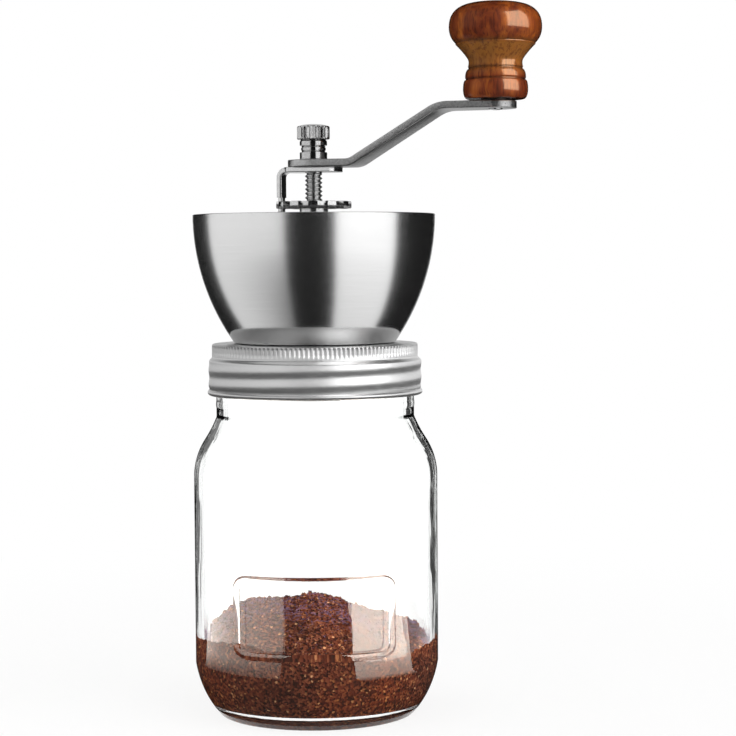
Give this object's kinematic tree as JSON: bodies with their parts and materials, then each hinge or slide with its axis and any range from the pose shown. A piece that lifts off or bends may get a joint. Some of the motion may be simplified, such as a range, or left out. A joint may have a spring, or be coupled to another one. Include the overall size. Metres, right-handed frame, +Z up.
{
  "type": "hand crank coffee grinder",
  "caption": "Hand crank coffee grinder: a steel hopper with conical burrs and a bent crank with a wooden knob, held on a glass jar by a knurled screw band.",
  "frame": {"origin": "the jar's axis in the plane that the jar stands on", "axes": "+Z up along the jar, spindle and crank axis; the jar's raised label frame faces -Y; at rest the crank arm points 15 degrees from +X towards -Y"},
  "size_m": [0.1214, 0.0862, 0.2465],
  "materials": {
    "clear_glass": "clear moulded glass, gloss",
    "ground_coffee": "dry dark brown grounds, matte",
    "band_aluminium": "satin rolled sheet",
    "black_nylon": "moulded, matte",
    "white_seal": "soft white rubber, matte",
    "burr_steel": "ground cast steel",
    "screw_steel": "zinc plated",
    "brushed_stainless": "brushed round the axis",
    "cast_zinc": "die cast, satin",
    "white_nylon": "moulded, satin",
    "spring_steel": "drawn wire",
    "nickel_plate": "nickel plated, bright",
    "brushed_arm": "pressed strip, satin",
    "chrome_plate": "polished",
    "dark_washer": "matte",
    "varnished_wood": "red brown varnish, high gloss"
  },
  "bodies": {
    "jar": {"glass_jar": "clear_glass", "ground_coffee": "ground_coffee"},
    "head": {"burr_housing": "black_nylon", "jar_seal": "white_seal", "outer_burr": "burr_steel", "burr_retainer": "black_nylon", "retainer_screws": "screw_steel", "hopper_bowl": "brushed_stainless", "centre_frame": "cast_zinc", "frame_screws": "screw_steel", "upper_bush": "white_nylon", "lower_bush": "white_nylon", "burr_spring": "spring_steel"},
    "band": {"screw_band": "band_aluminium"},
    "adjuster": {"adjusting_disc": "nickel_plate", "bearing_washer": "nickel_plate"},
    "crank": {"spindle": "nickel_plate", "stop_bracket": "nickel_plate", "crank_arm": "brushed_arm", "thumb_nut": "chrome_plate", "spring_seat": "nickel_plate", "inner_burr": "burr_steel", "burr_driver": "nickel_plate", "burr_washer": "nickel_plate", "burr_nut": "nickel_plate", "knob_pin": "nickel_plate", "pin_head": "nickel_plate", "knob_washer": "dark_washer"},
    "knob": {"knob": "varnished_wood", "knob_bush": "white_nylon"}
  },
  "joints": [
    {"name": "head_lift", "type": "slide", "parent": "jar", "child": "head", "axis": [0, 0, 1], "range_m": [0, 0.00634]},
    {"name": "band_turn", "type": "hinge", "parent": "head", "child": "band", "pos_m": [0, 0, 0.121], "axis": [0, 0, 1], "range_deg": [0, 450]},
    {"name": "crank_turn", "type": "hinge", "parent": "head", "child": "adjuster", "pos_m": [0, 0, 0.1765], "axis": [0, 0, 1], "continuous": true},
    {"name": "grind_set", "type": "slide", "parent": "adjuster", "child": "crank", "axis": [0, 0, 1], "range_m": [-0.0005, 0.0005], "deforming": ["burr_spring"]},
    {"name": "knob_spin", "type": "hinge", "parent": "crank", "child": "knob", "pos_m": [0.06269, -0.0168, 0.2135], "axis": [0, 0, 1], "continuous": true}
  ],
  "couplings": [
    {"joint": "band_turn", "follows": "head_lift", "rad_per_m": 1236.8}
  ]
}
